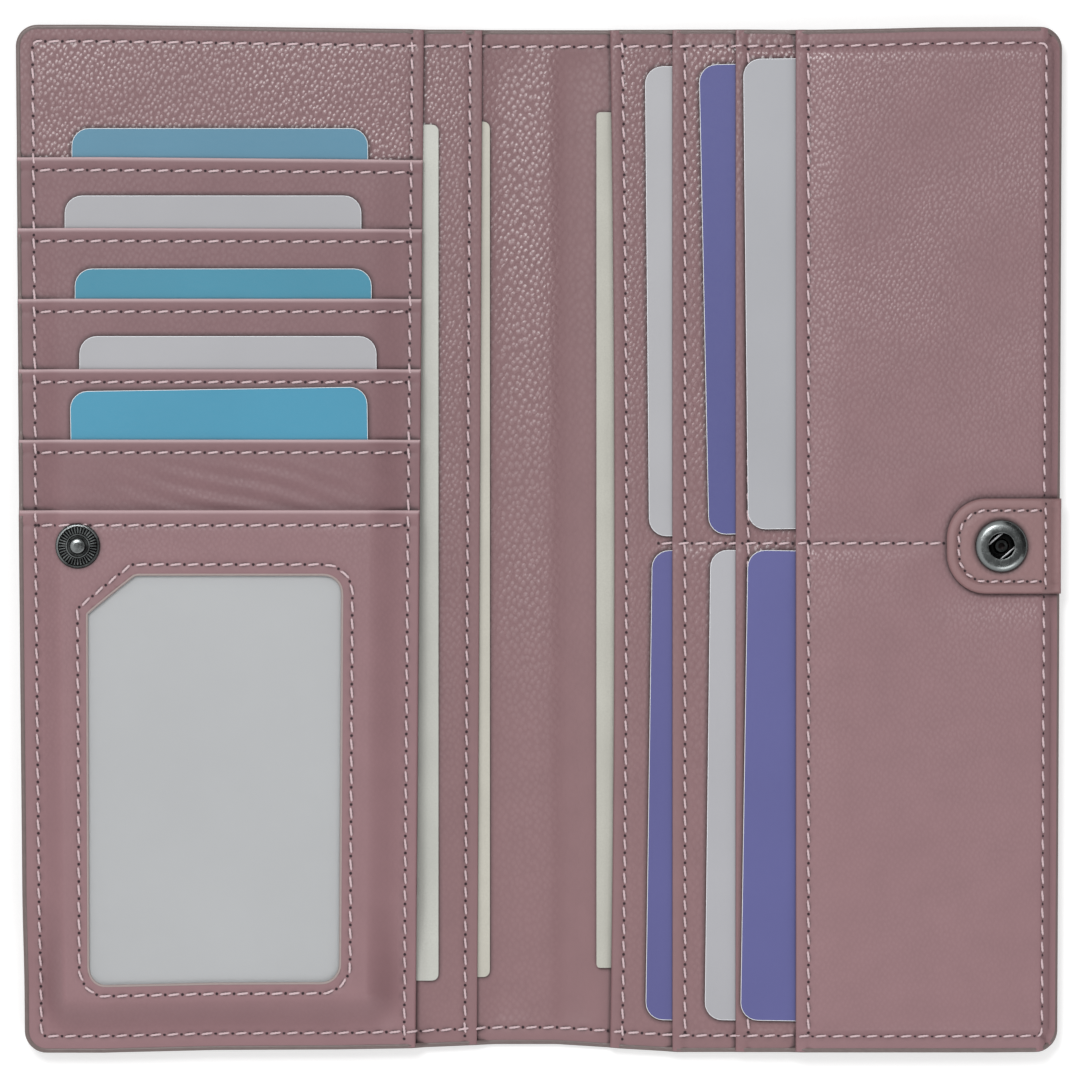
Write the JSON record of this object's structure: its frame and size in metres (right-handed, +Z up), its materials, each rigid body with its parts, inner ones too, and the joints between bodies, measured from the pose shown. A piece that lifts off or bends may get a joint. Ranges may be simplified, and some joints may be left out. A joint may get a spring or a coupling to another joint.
{
  "type": "card wallet",
  "caption": "Long bifold wallet in pebbled leather, lying open, with stepped card slots, an ID window, long note pockets and a tab with a sprung snap fastener.",
  "frame": {"origin": "on the table under the middle of the spine, at the centre of the open wallet's outline", "axes": "+X across the open wallet to the edge with the closing tab, +Y up the page to the wallet's top edge, +Z up from the table to the viewer"},
  "size_m": [0.1906, 0.1866, 0.0125],
  "materials": {
    "mauve_leather": "pebbled, semi-gloss",
    "mauve_lining": "pebbled, semi-gloss",
    "pocket_textile": "matt woven",
    "blue_card": "satin",
    "grey_card": "satin",
    "violet_card": "satin",
    "white_card": "satin",
    "cream_paper": "matt",
    "clear_pane": "clear film",
    "gunmetal": "polished, dark plated"
  },
  "bodies": {
    "right_leaf": {"cover_right": "mauve_leather", "lining_right": "mauve_lining", "right_panel": "mauve_leather", "right_slot_1": "mauve_leather", "right_slot_2": "mauve_leather", "right_slot_lining_1": "pocket_textile", "right_slot_lining_2": "pocket_textile", "right_front_panel": "mauve_leather", "closure_tab_root": "mauve_leather"},
    "spine": {"cover_spine": "mauve_leather", "lining_spine": "mauve_lining"},
    "left_leaf": {"cover_left": "mauve_leather", "lining_left": "mauve_lining", "left_divider": "mauve_leather", "left_card_panel": "mauve_leather", "left_slot_1": "mauve_leather", "left_slot_2": "mauve_leather", "left_slot_3": "mauve_leather", "left_slot_4": "mauve_leather", "left_slot_5": "mauve_leather", "left_slot_lining_1": "pocket_textile", "left_slot_lining_2": "pocket_textile", "left_slot_lining_3": "pocket_textile", "left_slot_lining_4": "pocket_textile", "left_slot_lining_5": "pocket_textile", "id_panel": "mauve_leather", "id_window_pane": "clear_pane", "snap_stud": "gunmetal", "snap_stud_eyelet": "gunmetal"},
    "closure_tab": {"closure_tab": "mauve_leather", "closure_tab_lining": "mauve_leather", "snap_socket": "gunmetal", "snap_spring": "gunmetal", "snap_socket_eyelet": "gunmetal"},
    "left_card_1": {"left_card_1": "blue_card"},
    "left_card_2": {"left_card_2": "grey_card"},
    "left_card_3": {"left_card_3": "blue_card"},
    "left_card_4": {"left_card_4": "grey_card"},
    "left_card_5": {"left_card_5": "blue_card"},
    "id_card": {"id_card": "white_card"},
    "left_front_bill": {"left_front_bill": "cream_paper"},
    "left_back_bill": {"left_back_bill": "cream_paper"},
    "right_bill": {"right_bill": "cream_paper"},
    "right_upper_card_1": {"right_upper_card_1": "grey_card"},
    "right_upper_card_2": {"right_upper_card_2": "violet_card"},
    "right_upper_card_3": {"right_upper_card_3": "grey_card"},
    "right_lower_card_1": {"right_lower_card_1": "violet_card"},
    "right_lower_card_2": {"right_lower_card_2": "grey_card"},
    "right_lower_card_3": {"right_lower_card_3": "violet_card"}
  },
  "joints": [
    {"name": "spine_fold", "type": "hinge", "parent": "right_leaf", "child": "spine", "pos_m": [0.00905, 0, 0.0016], "axis": [0, -1, 0], "range_deg": [-90, 0]},
    {"name": "left_fold", "type": "hinge", "parent": "spine", "child": "left_leaf", "pos_m": [-0.00905, 0, 0.0016], "axis": [0, -1, 0], "range_deg": [-90, 0]},
    {"name": "tab_lift", "type": "hinge", "parent": "right_leaf", "child": "closure_tab", "pos_m": [0.0912, -0.0012, 0.00828], "axis": [0, 1, 0], "range_deg": [0, 110]},
    {"name": "left_card_1_slide", "type": "slide", "parent": "left_leaf", "child": "left_card_1", "axis": [0, 1, 0], "range_m": [0, 0.077]},
    {"name": "left_card_2_slide", "type": "slide", "parent": "left_leaf", "child": "left_card_2", "axis": [0, 1, 0], "range_m": [0, 0.0765]},
    {"name": "left_card_3_slide", "type": "slide", "parent": "left_leaf", "child": "left_card_3", "axis": [0, 1, 0], "range_m": [0, 0.077]},
    {"name": "left_card_4_slide", "type": "slide", "parent": "left_leaf", "child": "left_card_4", "axis": [0, 1, 0], "range_m": [0, 0.0765]},
    {"name": "left_card_5_slide", "type": "slide", "parent": "left_leaf", "child": "left_card_5", "axis": [0, 1, 0], "range_m": [0, 0.073]},
    {"name": "id_card_slide", "type": "slide", "parent": "left_leaf", "child": "id_card", "axis": [0, 1, 0], "range_m": [0, 0.0845]},
    {"name": "left_front_bill_slide", "type": "slide", "parent": "left_leaf", "child": "left_front_bill", "axis": [1, 0, 0], "range_m": [0, 0.03]},
    {"name": "left_back_bill_slide", "type": "slide", "parent": "left_leaf", "child": "left_back_bill", "axis": [1, 0, 0], "range_m": [0, 0.021]},
    {"name": "right_bill_slide", "type": "slide", "parent": "right_leaf", "child": "right_bill", "axis": [-1, 0, 0], "range_m": [0, 0.02]},
    {"name": "right_upper_card_1_slide", "type": "slide", "parent": "right_leaf", "child": "right_upper_card_1", "axis": [-1, 0, 0], "range_m": [0, 0.04]},
    {"name": "right_upper_card_2_slide", "type": "slide", "parent": "right_leaf", "child": "right_upper_card_2", "axis": [-1, 0, 0], "range_m": [0, 0.045]},
    {"name": "right_upper_card_3_slide", "type": "slide", "parent": "right_leaf", "child": "right_upper_card_3", "axis": [-1, 0, 0], "range_m": [0, 0.0415]},
    {"name": "right_lower_card_1_slide", "type": "slide", "parent": "right_leaf", "child": "right_lower_card_1", "axis": [-1, 0, 0], "range_m": [0, 0.04]},
    {"name": "right_lower_card_2_slide", "type": "slide", "parent": "right_leaf", "child": "right_lower_card_2", "axis": [-1, 0, 0], "range_m": [0, 0.045]},
    {"name": "right_lower_card_3_slide", "type": "slide", "parent": "right_leaf", "child": "right_lower_card_3", "axis": [-1, 0, 0], "range_m": [0, 0.0415]}
  ],
  "couplings": [
    {"joint": "left_fold", "follows": "spine_fold", "ratio": 1}
  ]
}
